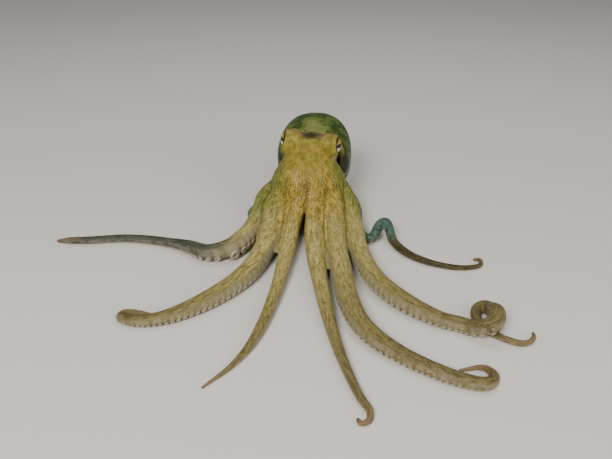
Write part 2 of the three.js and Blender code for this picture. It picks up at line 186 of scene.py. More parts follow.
# Each web: the arms it joins, how far out its edge lies at the arms and at the middle of the edge.
# Near the crown a web lies level with the arms' backs, further out lower between them.
WEB = {"thick": 1.7, "high": 0.9, "lift": 0.34, "falls": (16.0, 52.0), "sag": 1.2, "inner": 12.0}
WEBS = [
    ("right_1", "right_2", 74, 68), ("right_2", "right_3", 58, 50), ("right_3", "right_4", 44, 32),
    ("left_2", "left_1", 84, 80), ("left_3", "left_2", 74, 68), ("left_4", "left_3", 44, 32),
    ("right_4", "left_4", 30, 24),
]
WEB_END = {  # how far along each arm the webs reach
    "right_1": 56.0, "left_1": 62.0, "right_2": 60.0, "left_2": 68.0, "right_3": 56.0,
    "left_3": 68.0, "right_4": 44.0, "left_4": 44.0,
}
WEB_FADES = (-4.0, 12.0)  # from where an arm's web ends, mm
# The first pair part here, with a clean edge between them: the middle of the gap across the
# animal, how far to each side it reaches, and how far ahead of the mouth it starts.
PARTING = {"middle": -3.0, "half": (4.0, 7.0), "ahead": (20.0, 26.0)}
KEPT_ROUND_EYE = (6.2, 9.0)  # from an eye's middle, where the skin keeps its detail
SMOOTHED = (("soft", 26), ("fine", 3))  # rounds of smoothing, by the shares that points take

# Suckers, as shares of the arm's radius.
SUCKER = {
    "radius": 0.33, "pitch": 0.74, "row": 30.0, "proud": 0.17, "first": 13.0,
    "inner": 0.6, "grows": (12.0, 40.0),   # size near the mouth, and runs where it grows to full
    "sunk": 0.02, "least": 0.12, "steps": 10,
}
FOLD = {
    "up": 74.0, "down": 20.0, "sharp": 1.3, "round": 1.5, "height": 0.11, "level": 0.35,
    "sides": (45.0, 85.0), "starts": (30.0, 55.0),   # degrees from the back, and run
}
NEAR_ARM = (2.5, 0.6)  # gaps at which a point is off an arm, and on it
FOLDS_FROM = 16.0  # run where the folds may start
BACK, UNDER = 0.975, 0.84  # radius of the skin on an arm's back, and underneath
FLATTENS = (105.0, 165.0)  # where it goes from one to the other, degrees


# ---------- small helpers

def smooth(value, low, high):
    """0 up to low, 1 from high, and an even ease between them. low may be the larger."""
    t = np.clip((np.asarray(value, float) - low) / (high - low), 0.0, 1.0)
    return t * t * (3 - 2 * t)


def at_mouth(x, y, z):
    return AXIS + Vector((x, y, z))


def head_turn():
    """Turns side, forward and up on the head into the frame's directions."""
    roll = Matrix.Rotation(math.radians(HEAD_ROLL), 4, "Y")
    yaw = Matrix.Rotation(math.radians(-HEAD_YAW), 4, "Z")
    ahead = Matrix(((1, 0, 0, 0), (0, -1, 0, 0), (0, 0, 1, 0), (0, 0, 0, 1)))
    return yaw @ ahead @ roll


def head_point(side, forward, height):
    level = Vector((0, 0, HEAD_LEVEL))
    return AXIS + level + head_turn() @ (Vector((side, forward, height)) - level)


def eye_centre(side):
    return head_point(side * EYE["side"], EYE["forward"], EYE["height"])


def gaze(side):
    return (head_turn() @ Vector((side * GAZE[0], GAZE[1], GAZE[2]))).normalized()


def facing(direction, up=(0, 0, 1)):
    """A turn that takes +Z to the direction and keeps +Y as near to up as it can be."""
    z = Vector(direction).normalized()
    x = Vector(up).cross(z).normalized()
    y = z.cross(x)
    return Matrix((x, y, z)).transposed().to_4x4()


def as_mesh(bm, name):
    mesh = bpy.data.meshes.new(name)
    bm.to_mesh(mesh)
    bm.free()
    return mesh


def placed(name, data):
    made = bpy.data.objects.new(name, data)
    bpy.context.scene.collection.objects.link(made)
    return made


def finished(name, mesh, slot, made_of, *nodes):
    """Puts a mesh worked out in millimetres into the scene as a piece of the animal."""
    mesh.transform(Matrix.Scale(MM, 4))
    mesh.name = name
    piece = placed(name, mesh)
    mesh.materials.append(made_of)
    for polygon in mesh.polygons:
        polygon.use_smooth = True
    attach(piece, "root")
    if nodes:
        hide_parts(*nodes)


def with_modifiers(mesh, *recipes, groups=()):
    """The mesh after modifiers, each given as its kind and its settings. Each group that they may
    read is a name and the vertices' weights, which are taken to the nearest tenth."""
    scratch = placed("scratch", mesh)
    for name, values in groups:
        group, levels = scratch.vertex_groups.new(name=name), np.round(values, 1)
        for level in np.unique(levels[levels > 0]):
            group.add(np.flatnonzero(levels == level).tolist(), float(level), "REPLACE")
    for kind, settings in recipes:
        modifier = scratch.modifiers.new(kind.title(), kind)
        for key, value in settings.items():
            setattr(modifier, key, value)
    depsgraph = bpy.context.evaluated_depsgraph_get()
    result = bpy.data.meshes.new_from_object(scratch.evaluated_get(depsgraph))
    bpy.data.objects.remove(scratch)
    return result


# ---------- arms as curves

def arm_path(spec):
    """Samples of an arm's middle line: run, points, radius, and directions ahead, side and back."""
    route = np.array(spec["route"], float)
    knots = np.vstack([2 * route[0] - route[1], route, 2 * route[-1] - route[-2]])[:, :2]
    t = np.linspace(0, len(route) - 1, len(route) * LEG_SAMPLES + 1)
    k = np.minimum(t.astype(int), len(route) - 2)
    w = (t - k)[:, None]
    p0, p1, p2, p3 = (knots[k + i] for i in range(4))
    d0, d1, d2 = (
        np.linalg.norm(b - a, axis=1)[:, None] ** 0.5 for a, b in ((p0, p1), (p1, p2), (p2, p3))
    )
    m1 = ((p1 - p0) / d0 - (p2 - p0) / (d0 + d1) + (p2 - p1) / d1) * d1
    m2 = ((p2 - p1) / d1 - (p3 - p1) / (d1 + d2) + (p3 - p2) / d2) * d1
    ground = (
        p1 * (2 * w**3 - 3 * w**2 + 1) + m1 * (w**3 - 2 * w**2 + w)
        + p2 * (3 * w**2 - 2 * w**3) + m2 * (w**3 - w**2)
    )
    legs = np.linalg.norm(np.diff(ground, axis=0), axis=1)
    run = np.hypot(*route[0, :2]) + np.concatenate([[0], np.cumsum(legs)])
    radius = route[k, 2] * (1 - w[:, 0]) + route[k + 1, 2] * w[:, 0]

    even = np.arange(run[0], run[-1], STEP)
    x, y, r = (np.interp(even, run, v) for v in (ground[:, 0], ground[:, 1], radius))
    height, start, fall = REAR_RISE if spec.get("rear") else RISE
    z = REST * r + height * np.exp((start - even) / fall)
    for at, lift, half in spec.get("lifts", []):
        z = z + lift * (1 - smooth(abs(even - at), 0, half))
    points = np.stack([x + AXIS.x, y + AXIS.y, z], axis=1)

    ahead = np.gradient(points, axis=0)
    ahead /= np.linalg.norm(ahead, axis=1)[:, None]
    side = np.cross(ahead, (0, 0, 1))
    side /= np.linalg.norm(side, axis=1)[:, None]
    back = np.cross(side, ahead)
    places, degrees = zip(*spec["roll"])
    roll = np.radians(np.interp(even, places, degrees))[:, None] * spec["hand"]
    return {
        "run": even, "points": points, "radius": r, "ahead": ahead,
        "side": side * np.cos(roll) + back * np.sin(roll),
        "back": back * np.cos(roll) - side * np.sin(roll),
    }


def at_run(path, run, *keys):
    """The path's values at a run, or at many."""
    found = []
    for key in keys:
        table = path[key]
        if table.ndim == 1:
            found.append(np.interp(run, path["run"], table))
        else:
            columns = [np.interp(run, path["run"], table[:, i]) for i in range(3)]
            found.append(np.stack(columns, axis=-1))
    return found


for name, spec in ARMS.items():
    spec["hand"] = 1.0 if name.startswith("left") else -1.0
PATHS = {name: arm_path(spec) for name, spec in ARMS.items()}


def sucker_rows(name):
    """Runs of the suckers in an arm's two rows, half a step apart, and the suckers' radii."""
    path, spec = PATHS[name], ARMS[name]
    rows = {}
    for row in (-1, 1):
        run = SUCKER["first"] + (row > 0) * 0.5 * SUCKER["pitch"] * path["radius"][0]
        runs, radii = [], []
        while run < path["run"][-1] - 1.0:
            (r,) = at_run(path, run, "radius")
            grown = SUCKER["inner"] + (1 - SUCKER["inner"]) * smooth(run, *SUCKER["grows"])
            size = SUCKER["radius"] * r * grown
            for at, factor, half in spec.get("big", []):
                size *= 1 + (factor - 1) * (1 - smooth(abs(run - at), 0, half))
            runs.append(run)
            radii.append(size)
            run += max(size / SUCKER["radius"] * SUCKER["pitch"], 0.5)
        rows[row] = (np.array(runs), np.array(radii))
    return rows


ROWS = {name: sucker_rows(name) for name in ARMS}


# ---------- shapes under the skin

def facing_out(bm, name):
    bmesh.ops.recalc_face_normals(bm, faces=bm.faces)
    return as_mesh(bm, name)


def ball(centre, half):
    bm = bmesh.new()
    bmesh.ops.create_uvsphere(bm, u_segments=64, v_segments=40, radius=1.0)
    bmesh.ops.scale(bm, vec=half, verts=bm.verts)
    bmesh.ops.translate(bm, vec=centre, verts=bm.verts)
    return as_mesh(bm, "ball")


def turned_profile(profile, steps):
    """A lathe about +Z of (radius, height) points that start and end on the axis."""
    bm = bmesh.new()
    verts = [bm.verts.new((radius, 0, height)) for radius, height in profile]
    edges = [bm.edges.new(pair) for pair in zip(verts, verts[1:])]
    bmesh.ops.spin(
        bm, geom=verts + edges, cent=(0, 0, 0), axis=(0, 0, 1), angle=math.tau, steps=steps,
        use_merge=True,
    )
    bmesh.ops.remove_doubles(bm, verts=bm.verts, dist=0.001)
    bmesh.ops.recalc_face_normals(bm, faces=bm.faces)
    return bm


def crown_shape():
    bm = turned_profile(CROWN_PROFILE, 64)
    bmesh.ops.scale(bm, vec=(*CROWN["half"], 1), verts=bm.verts)
    bmesh.ops.translate(bm, vec=at_mouth(*CROWN["shift"], 0), verts=bm.verts)
    return as_mesh(bm, "crown")


def mantle_place(share, along, angle):
    """A point of the sac: its share of the width, its place along, and the angle round it."""
    front = float(smooth(-along, 0, MANTLE["front"]))
    across, up = (
        math.copysign(abs(value) ** MANTLE["square"], value)
        for value in (math.cos(angle), math.sin(angle))
    )
    side = across * share * MANTLE["width"]
    tall = MANTLE["height"] * (1 - MANTLE["flatten"] * front)
    height = MANTLE["seat"] + MANTLE["rise"] * front + up * share * tall
    turn = Matrix.Rotation(math.radians(-MANTLE["yaw"]), 3, "Z")
    flat = turn @ Vector((side, along * MANTLE["length"], 0))
    return at_mouth(MANTLE["centre"][0] + flat.x, MANTLE["centre"][1] + flat.y, max(0.0, height))


def mantle_shape():
    """The sac with its open throat: a profile along it is spun, then given the sac's section."""
    profile = []
    for i in range(MANTLE_RINGS + 1):
        along = math.cos(i / MANTLE_RINGS * math.acos(MANTLE["rim"]))
        swell = math.sqrt(max(0, 1 - abs(along) ** MANTLE["taper"])) ** MANTLE["blunt"]
        profile.append((0 if i == 0 else swell, along))
    profile += [(share * profile[-1][0], along) for share, along in MANTLE["throat"]]
    bm = turned_profile(profile, 72)
    for vert in bm.verts:
        share = math.hypot(vert.co.x, vert.co.y)
        vert.co = mantle_place(share, vert.co.z, math.atan2(vert.co.y, vert.co.x))
    return facing_out(bm, "mantle")


def siphon_shape():
    root, tip = Vector(SIPHON["root"]), Vector(SIPHON["tip"])
    length = (tip - root).length
    lip = SIPHON["tip_radius"]
    profile = [
        (0, 0), (SIPHON["root_radius"], 0), (lip + 0.4, length * 0.7), (lip, length - 0.5),
        (lip - 0.3, length), (SIPHON["bore"], length - 0.4),
        (SIPHON["bore"], length - SIPHON["deep"]), (0, length - SIPHON["deep"]),
    ]
    bm = turned_profile(profile, 32)
    bmesh.ops.transform(bm, matrix=facing(tip - root), verts=bm.verts)
    bmesh.ops.translate(bm, vec=AXIS + root, verts=bm.verts)
    return as_mesh(bm, "siphon")


def arm_shape(path):
    """A drum with many rings, bent along the arm and rounded off at its tip."""
    start, end = path["run"][0], path["run"][-1]
    bm = bmesh.new()
    bmesh.ops.create_cone(
        bm, cap_ends=True, cap_tris=False, segments=28, radius1=1, radius2=1, depth=1
    )
    uprights = [edge for edge in bm.edges if abs(edge.verts[0].co.z - edge.verts[1].co.z) > 0.5]
    bmesh.ops.subdivide_edges(bm, edges=uprights, cuts=int((end - start) / RING_STEP))
    for vert in bm.verts:
        run = start + (end - start) * (vert.co.z + 0.5)
        point, radius, side, back = at_run(path, run, "points", "radius", "side", "back")
        past = max(0.0, run - end + radius) / radius
        reach = radius * BACK * math.sqrt(max(0.0, 1 - past**2))
        vert.co = Vector(point + (side * vert.co.x + back * vert.co.y) * max(reach, TIP_END))
        vert.co.z = max(vert.co.z, 0.0)
    return facing_out(bm, "arm")


def web_shape(one, other, at_arm, at_middle):
    """A thin sheet between two arms with a hollowed free edge."""
    bm = bmesh.new()
    bmesh.ops.create_grid(bm, x_segments=24, y_segments=20, size=0.5)
    made = bmesh.ops.extrude_face_region(bm, geom=list(bm.faces))
    top = {item for item in made["geom"] if isinstance(item, bmesh.types.BMVert)}
    for vert in bm.verts:
        across = vert.co.x + 0.5
        bow = math.sin(math.pi * across)
        reach = at_arm + (at_middle - at_arm) * bow
        run = WEB["inner"] + (reach - WEB["inner"]) * (vert.co.y + 0.5)
        (a, ra), (b, rb) = (at_run(PATHS[name], run, "points", "radius") for name in (one, other))
        share = WEB["high"] + (WEB["lift"] - WEB["high"]) * float(smooth(run, *WEB["falls"]))
        lift = share * (ra + (rb - ra) * across) - WEB["sag"] * bow
        half = WEB["thick"] / 2 if vert in top else -WEB["thick"] / 2
        vert.co = Vector(a + (b - a) * across) + Vector((0, 0, lift + half))
    return facing_out(bm, "web")


def ring_shape(centre, direction, radius, thick, tall=1.0):
    """A rounded ring about a direction, as of a lid or a lip."""
    bm = bmesh.new()
    made = bmesh.ops.create_circle(bm, segments=16, radius=thick)
    upright = Matrix.Translation((radius, 0, 0)) @ Matrix.Rotation(math.pi / 2, 4, "X")
    bmesh.ops.transform(bm, matrix=upright, verts=made["verts"])
    bmesh.ops.spin(
        bm, geom=list(bm.verts) + list(bm.edges), cent=(0, 0, 0), axis=(0, 0, 1), angle=math.tau,
        steps=48, use_merge=True,
    )
    bmesh.ops.scale(bm, vec=(1, tall, 1), verts=bm.verts)
    bmesh.ops.transform(bm, matrix=Matrix.Translation(centre) @ facing(direction), verts=bm.verts)
    return facing_out(bm, "ring")


def head_shapes():
    """Skull, brow, nape, the eyes' mounds and the right cheek, with the eyes' sockets cut out."""
    meshes = [ball(at_mouth(*centre), half) for centre, half in (SKULL, BROW, NAPE)]
    for side in (-1, 1):
        centre = head_point(side * EYE_MOUND["side"], EYE_MOUND["forward"], EYE_MOUND["height"])
        meshes.append(ball(centre, (EYE_MOUND["radius"],) * 3))
    meshes.append(ball(head_point(*CHEEK), (CHEEK_RADIUS,) * 3))
    hollow = (EYE["radius"] + EYE["play"],) * 3
    sockets = [placed("socket", ball(eye_centre(side), hollow)) for side in (-1, 1)]
    cuts = [("BOOLEAN", {"operation": "DIFFERENCE", "object": socket}) for socket in sockets]
    cut = [with_modifiers(mesh, *cuts) for mesh in meshes]
    for socket in sockets:
        bpy.data.objects.remove(socket)
    return cut


def lid_shapes():
    rings = []
    for side in (-1, 1):
        look = gaze(side)
        centre = eye_centre(side) + look * LID["out"]
        rings.append(ring_shape(centre, look, LID["ring"], LID["thick"], LID["tall"]))
    return rings


def joined(meshes):
    bm = bmesh.new()
    for mesh in meshes:
        bm.from_mesh(mesh)
        bpy.data.meshes.remove(mesh)
    return as_mesh(bm, "joined")


# ---------- places on the arms

FAR = 1e9  # farther than any arm, mm
CHUNK = 40000  # points that are measured at a time, to spare memory


def arm_places(points):
    """For each point, the arm whose skin is nearest, the run, angle and radius there, the gap to
    it and the gap to the next nearest."""
    count = len(points)
    best = {
        "gap": np.full(count, FAR), "next": np.full(count, FAR), "arm": np.zeros(count, int),
        "run": np.zeros(count), "angle": np.zeros(count), "radius": np.ones(count),
    }
    for index, path in enumerate(PATHS.values()):
        centre = path["points"]
        square = (centre**2).sum(1)
        nearest = np.empty(count, int)
        for start in range(0, count, CHUNK):
            chunk = points[start:start + CHUNK]
            nearest[start:start + CHUNK] = np.argmin(square - 2 * chunk @ centre.T, axis=1)
        offset = points - centre[nearest]
        ahead = (offset * path["ahead"][nearest]).sum(1)
        offset -= path["ahead"][nearest] * ahead[:, None]
        reach = np.linalg.norm(offset, axis=1)
        radius = path["radius"][nearest]
        gap = reach - radius + np.maximum(0, abs(ahead) - STEP)
        closer = gap < best["gap"]
        best["next"] = np.minimum(best["next"], np.where(closer, best["gap"], gap))
        angle = np.degrees(np.arctan2(
            (offset * path["side"][nearest]).sum(1), (offset * path["back"][nearest]).sum(1)
        ))
        run = path["run"][nearest] + ahead
        for key, values in (
            ("gap", gap), ("arm", np.full(count, index)), ("run", run), ("angle", angle),
            ("radius", radius),
        ):
            best[key] = np.where(closer, values, best[key])
    return best


def section(angle):
    """The skin's radius round an arm as a share: round on its back, flatter between the suckers."""
    return BACK - (BACK - UNDER) * smooth(abs(angle), *FLATTENS)


def ribs(places):
    """Folds over the sucker stalks, from 0 between them to 1 on top, reaching up an arm's sides."""
    height = np.zeros(len(places["run"]))
    for index, name in enumerate(ARMS):
        for row in (-1, 1):
            mine = np.flatnonzero((places["arm"] == index) & (places["angle"] * row > 0))
            runs, radii = ROWS[name][row]
            run = places["run"][mine]
            k = np.clip(np.searchsorted(runs, run), 1, len(runs) - 1)
            k = np.where(abs(runs[k - 1] - run) < abs(runs[k] - run), k - 1, k)
            along = (run - runs[k]) / radii[k]
            off = abs(places["angle"][mine]) - (180 - SUCKER["row"])
            reach = np.where(off < 0, FOLD["up"], FOLD["down"])
            height[mine] = np.exp(-FOLD["sharp"] * along**2)
            height[mine] *= np.exp(-FOLD["round"] * (off / reach) ** 2)
    return height


def numbers(mesh):
    flat = np.empty(len(mesh.vertices) * 3)
    mesh.vertices.foreach_get("co", flat)
    return flat.reshape(-1, 3)


def store(mesh, points):
    mesh.vertices.foreach_set("co", points.ravel())
    mesh.update()


# ---------- the skin

def free_of_web(places):
    """1 where an arm is clear of the webs, and 0 where it is in them."""
    ends = np.array([WEB_END[name] for name in ARMS])[places["arm"]]
    return smooth(places["run"], ends + WEB_FADES[0], ends + WEB_FADES[1])


def skin_mesh():
    shapes = head_shapes() + lid_shapes()
    shapes += [crown_shape(), mantle_shape(), siphon_shape()]
    shapes.append(ring_shape(at_mouth(*MOUTH["place"]), (0, 0, -1), MOUTH["ring"], MOUTH["thick"]))
    shapes += [arm_shape(path) for path in PATHS.values()]
    shapes += [web_shape(*web) for web in WEBS]
    rough = with_modifiers(joined(shapes), ("REMESH", {"mode": "VOXEL", "voxel_size": VOXEL}))

    points = numbers(rough)
    loose = free_of_web(arm_places(points))
    near_eye = np.zeros(len(points))
    for side in (-1, 1):
        off = np.linalg.norm(points - np.array(eye_centre(side)), axis=1)
        near_eye = np.maximum(near_eye, 1 - smooth(off, *KEPT_ROUND_EYE))
    parting = 1 - smooth(abs(points[:, 0] - AXIS.x - PARTING["middle"]), *PARTING["half"])
    parting *= smooth(AXIS.y - points[:, 1], *PARTING["ahead"])
    soft = (1 - loose) * (1 - 0.85 * near_eye) * (1 - 0.8 * parting)
    smoothing = [
        ("SMOOTH", {
            "vertex_group": name, "factor": 0.5,
            "iterations": max(2, int(rounds * (FINE_VOXEL / VOXEL) ** 2)),
        }) for name, rounds in SMOOTHED
    ]
    weights = [("soft", soft), ("fine", np.ones(len(points)))]
    eased = with_modifiers(rough, *smoothing, groups=weights)

    store(eased, on_arms(numbers(eased)))
    count = sum(len(p.vertices) - 2 for p in eased.polygons)
    thinned = with_modifiers(
        eased, ("DECIMATE", {"decimate_type": "COLLAPSE", "ratio": SKIN_TRIANGLES / count})
    )
    store(thinned, np.clip(numbers(thinned), *(np.array(cad_box) / MM)))
    thinned.validate()
    return thinned


def outward(places, mine, side, back):
    """Directions away from the arm's middle, at the angles of these points."""
    angle = np.radians(places["angle"][mine])[:, None]
    return side * np.sin(angle) + back * np.cos(angle)


def on_arms(points):
    """Sets the skin of the free arms on their true section, and raises the suckers' folds."""
    places = arm_places(points)
    loose = free_of_web(places)
    folds = ribs(places)
    out = np.array(points)
    for index, path in enumerate(PATHS.values()):
        mine = np.flatnonzero((places["arm"] == index) & (loose > 0))
        run = np.clip(places["run"][mine], path["run"][0], path["run"][-1])
        centre, radius, side, back = at_run(path, run, "points", "radius", "side", "back")
        to_tip = np.clip((path["run"][-1] - run) / radius, 0, 1)
        share = section(places["angle"][mine]) * np.sqrt(np.clip(1 - (1 - to_tip) ** 2, 0.05, 1))
        target = centre + outward(places, mine, side, back) * (radius * share)[:, None]
        w = loose[mine][:, None]
        out[mine] = points[mine] * (1 - w) + target * w
    for index, path in enumerate(PATHS.values()):
        near = (places["gap"] < NEAR_ARM[1]) & (places["run"] > FOLDS_FROM)
        mine = np.flatnonzero((places["arm"] == index) & near)
        run = places["run"][mine]
        side, back = at_run(path, run, "side", "back")
        lift = FOLD["height"] * places["radius"][mine] * (folds[mine] - FOLD["level"])
        lift *= smooth(abs(places["angle"][mine]), *FOLD["sides"]) * smooth(run, *FOLD["starts"])
        lift *= 0.7 + 0.3 * np.sin(run / 1.9 + index) * np.sin(run / 3.1 - index)  # no two alike
        out[mine] += outward(places, mine, side, back) * lift[:, None]
    out[:, 2] = np.maximum(out[:, 2], 0.0)
    return out


# ---------- materials

def linear(code):
    """An sRGB hex colour as linear RGBA."""
    parts = [int(code[i:i + 2], 16) / 255 for i in (1, 3, 5)]
    return (*[c / 12.92 if c <= 0.04045 else ((c + 0.055) / 1.055) ** 2.4 for c in parts], 1.0)


def add(tree, kind, inputs=(), **settings):
    """Adds a node. inputs gives its sockets a value or another node's output."""
    node = tree.nodes.new(kind)
    for key, value in settings.items():
        setattr(node, key, value)
    for key, value in dict(inputs).items():
        if isinstance(value, bpy.types.NodeSocket):
            tree.links.new(value, node.inputs[key])
        else:
            node.inputs[key].default_value = value
    return node


def material(name, settings):
    """A material whose shader has these settings, its tree and its shader."""
    made = bpy.data.materials.new(name)
    made.use_nodes = True
    tree = made.node_tree
    tree.nodes.clear()
    shader = add(tree, "ShaderNodeBsdfPrincipled", settings)
    add(tree, "ShaderNodeOutputMaterial", {"Surface": shader.outputs[0]})
    return made, tree, shader


def amount(tree, parts, shares):
    """How much of a layer shows: its shares multiplied. A share is a number, a part by name, or a
    part with the levels it is eased between and, where they aren't 0 and 1, the values there."""
    product = None
    for share in shares:
        if isinstance(share, tuple):
            name, low, high, at_low, at_high = (*share, 0.0, 1.0)[:5]
            share = add(tree, "ShaderNodeMapRange", {
                "Value": parts[name], "From Min": low, "From Max": high,
                "To Min": at_low, "To Max": at_high,
            }, interpolation_type="SMOOTHSTEP").outputs["Result"]
        elif isinstance(share, str):
            share = parts[share]
        product = share if product is None else add(
            tree, "ShaderNodeMath", {0: product, 1: share}, operation="MULTIPLY"
        ).outputs[0]
    return product


def layered(tree, parts, layers):
    """Colours laid over one another, the first as the ground. Each layer is its shares and its
    colour: a hex code, another coat by name, or shares and the two codes that they blend."""
    coat = None
    for shares, colour in layers:
        if isinstance(colour, tuple):
            *blend, one, other = colour
            colour = add(tree, "ShaderNodeMix", {
                0: amount(tree, parts, blend), 6: linear(one), 7: linear(other),
            }, data_type="RGBA").outputs[2]
        else:
            colour = linear(colour) if colour.startswith("#") else parts[colour]
        coat = colour if coat is None else add(tree, "ShaderNodeMix", {
            0: amount(tree, parts, shares), 6: coat, 7: colour,
        }, data_type="RGBA").outputs[2]
    return coat


# The skin's grains that lie still in the flesh: size in mm, detail and roughness.
GRAINS = {
    "dots": (0.8, 2.0, 0.7),               # a colour cell is 0.3; drawn coarser, so that dots show
    "specks": (1.3, 3.0, 0.65), "wet": (2.0, 4.0, 0.55), "cloud": (3.2, 3.0, 0.55),
    "mottle": (6.0, 5.0, 0.65), "patch": (7.0, 4.0, 0.55),
}
# The grains that run down the crown and along the arms, as fine wrinkles, and how much longer than
# wide they are on each.
RUNNING = {"streak": (1.1, 4.0, 0.7), "furrow": (2.0, 2.0, 0.5)}
DRAWN_OUT = (("crown_flow", 0.2), ("arm_flow", 0.22))
CELL, SUCKER_CLOUD = 1.1, 3.0  # widths of the skin's fine cells and the suckers' clouding, mm

# The skin's coats, each as its layers from the ground up.
ARM_COAT = [
    ((), (("streak", 0.36, 0.64), "#84742E", "#C8B472")),
    ((("patch", 0.5, 0.64), 0.5), "#8A8A46"),
    (("outer",), (("streak", 0.34, 0.66), "#6C602E", "#9E8E54")),
    (("last",), (("streak", 0.34, 0.66), "#4E4222", "#7C6E44")),
]
UNDERSIDE = [
    ((), ("rib", ("cloud", 0.3, 0.55, 0.35, 1.0), "#7C7248", "#B8AD84")),
    ((("patch", 0.4, 0.6), 0.3), "#94897A"),
    (("last", 0.55), (("cloud", 0.4, 0.6), "#5C4C34", "#857556")),
    (("dusky", 0.9), (("cloud", 0.4, 0.6), "#46443C", "#6A675E")),
]
FACE_COAT = [
    ((), (("cloud", 0.35, 0.65), "#766C1A", "#9E8D3A")),
    ((("dots", 0.58, 0.70), 0.6), "#4C480A"),
    ((("dots", 0.40, 0.30), 0.35), "#B09A50"),
    (("amber",), "#966010"),
    (("brow",), (("cloud", 0.4, 0.6), "#746030", "#92794A")),
]
SAC_COAT = [
    ((), (("mottle", 0.43, 0.59), "#2E430C", "#748330")),
    ((("specks", 0.54, 0.66), 0.75), "#20340C"),
    (("deep", 0.5), "#263C0A"),
    (("pale", ("dots", 0.75, 0.35)), "#7E7E44"),
    (("rim",), "#8C8C40"),
]
WHOLE_SKIN = [
    ((), (("streak", 0.38, 0.62), "#5E5210", "#BC9A38")),
    ((("patch", 0.50, 0.66), 0.45), "#B8A466"),
    ((("patch", 0.50, 0.36), 0.5), "#62681A"),
    (("distal",), "arm_coat"),
    (("flank", 0.8), (("streak", 0.36, 0.64), "#38480E", "#7C8834")),
    (("grey",), (("streak", 0.34, 0.66), "#2E3127", "#4F5244")),
    (("brown",), (("streak", 0.34, 0.66), "#2A210C", "#524424")),
    (("teal",), (("cloud", 0.35, 0.65), "#23423A", "#456458")),
    (("tip",), "#86684C"),
    # painted shade in the furrows between neighbouring arms
    (("seam", ("dots", 0.70, 0.40, 0.25, 0.8)), "#54400E"),
    ((("dots", 0.57, 0.68), "bare"), "#444A10"),
    ((("dots", 0.43, 0.32), "bare", "spark"), "#D4C48A"),
    (("oral",), "underside"),
    (("face",), "face_coat"),
    (("fleck", ("dots", 0.42, 0.32), 0.45), "#E2D6B4"),
    (("fleck", ("dots", 0.54, 0.64), 0.8), "#6A3A1C"),
    ((("furrow", 0.40, 0.31), "lined"), "#5A4A14"),
    (("mantle",), "sac_coat"),
    # painted shade in the crease on top of the head
    (("crease_shade", ("dots", 0.68, 0.42, 0.75, 1.0)), "#1B1B04"),
    # painted shade round the eyes, inside the throat and in its opening
    (("painted_shade",), "#0A0905"),
    # a pale spot below the left eye and a painted highlight on the opening's lip
    (("light", ("dots", 0.58, 0.46)), "#E6E0C8"),
]


# Octopus skin: wet, thin and slightly clear over muscle, so light goes in a little and the gloss is
# broad. Its colour is made of fine dots and patches that open and close, drawn here as mottling,
# with painted shade in its creases, grooves and throat, and a painted highlight on the mantle's lip.
def octopus_skin(mark_names):
    made, tree, shader = material("octopus_skin", {
        "IOR": 1.38, "Specular IOR Level": 0.3, "Subsurface Weight": 0.12,
        "Subsurface Radius": (0.0020, 0.0012, 0.0006), "Subsurface Scale": 1.0,
    })
    where = add(tree, "ShaderNodeTexCoord").outputs["Object"]
    parts = {
        name: add(tree, "ShaderNodeAttribute", attribute_name=name).outputs["Fac"]
        for name in mark_names
    }
    for name, (size, detail, rough) in GRAINS.items():
        parts[name] = add(tree, "ShaderNodeTexNoise", {
            "Vector": where, "Scale": 1 / (size * MM), "Detail": detail, "Roughness": rough,
        }).outputs["Fac"]
    flows = []
    for name, squeeze in DRAWN_OUT:
        flow = add(tree, "ShaderNodeAttribute", attribute_name=name).outputs["Vector"]
        flows.append(add(tree, "ShaderNodeMapping", {"Vector": flow, "Scale": (squeeze, 1.0, 1.0)}))
    for name, (size, detail, rough) in RUNNING.items():
        crown, arm = (
            add(tree, "ShaderNodeTexNoise", {
                "Vector": flow.outputs[0], "Scale": 1 / size, "Detail": detail, "Roughness": rough,
            }).outputs["Fac"] for flow in flows
        )
        parts[name] = add(tree, "ShaderNodeMix", {0: parts["limb"], 2: crown, 3: arm}).outputs[0]
    # dots show less on the mantle, and the light ones less still towards the arms' ends
    for name, mark, off, on in (("bare", "mantle", 0.75, 0.0), ("spark", "outer", 0.65, 0.22)):
        parts[name] = add(tree, "ShaderNodeMix", {0: parts[mark], 2: off, 3: on}).outputs[0]
    for name, layers in (
        ("arm_coat", ARM_COAT), ("underside", UNDERSIDE), ("face_coat", FACE_COAT),
        ("sac_coat", SAC_COAT), ("whole", WHOLE_SKIN),
    ):
        parts[name] = layered(tree, parts, layers)

    # painted shade in the fine grooves between the skin's cells, multiplied over the whole colour
    parts["cells"] = add(tree, "ShaderNodeTexVoronoi", {
        "Vector": where, "Scale": 1 / (CELL * MM), "Randomness": 0.9,
    }, feature="DISTANCE_TO_EDGE").outputs["Distance"]
    groove_shade = amount(tree, parts, [("cells", 0.0, 0.16, 0.80, 1.0)])
    shade = add(tree, "ShaderNodeMix", {
        0: 1.0, 6: parts["whole"], 7: groove_shade,
    }, data_type="RGBA", blend_type="MULTIPLY")
    tree.links.new(shade.outputs[2], shader.inputs["Base Color"])

    normal = {}
    for height, strength, deep in (
        ("cells", 0.35, 0.3), ("streak", 0.55, 0.6), ("furrow", parts["lined"], 0.7),
    ):
        relief = add(tree, "ShaderNodeBump", {
            "Strength": strength, "Distance": deep * MM, "Height": parts[height], **normal,
        })
        normal = {"Normal": relief.outputs[0]}
    tree.links.new(relief.outputs[0], shader.inputs["Normal"])
    gloss = amount(tree, parts, [("wet", 0.3, 0.7, 0.42, 0.6)])
    tree.links.new(gloss, shader.inputs["Roughness"])
    return made


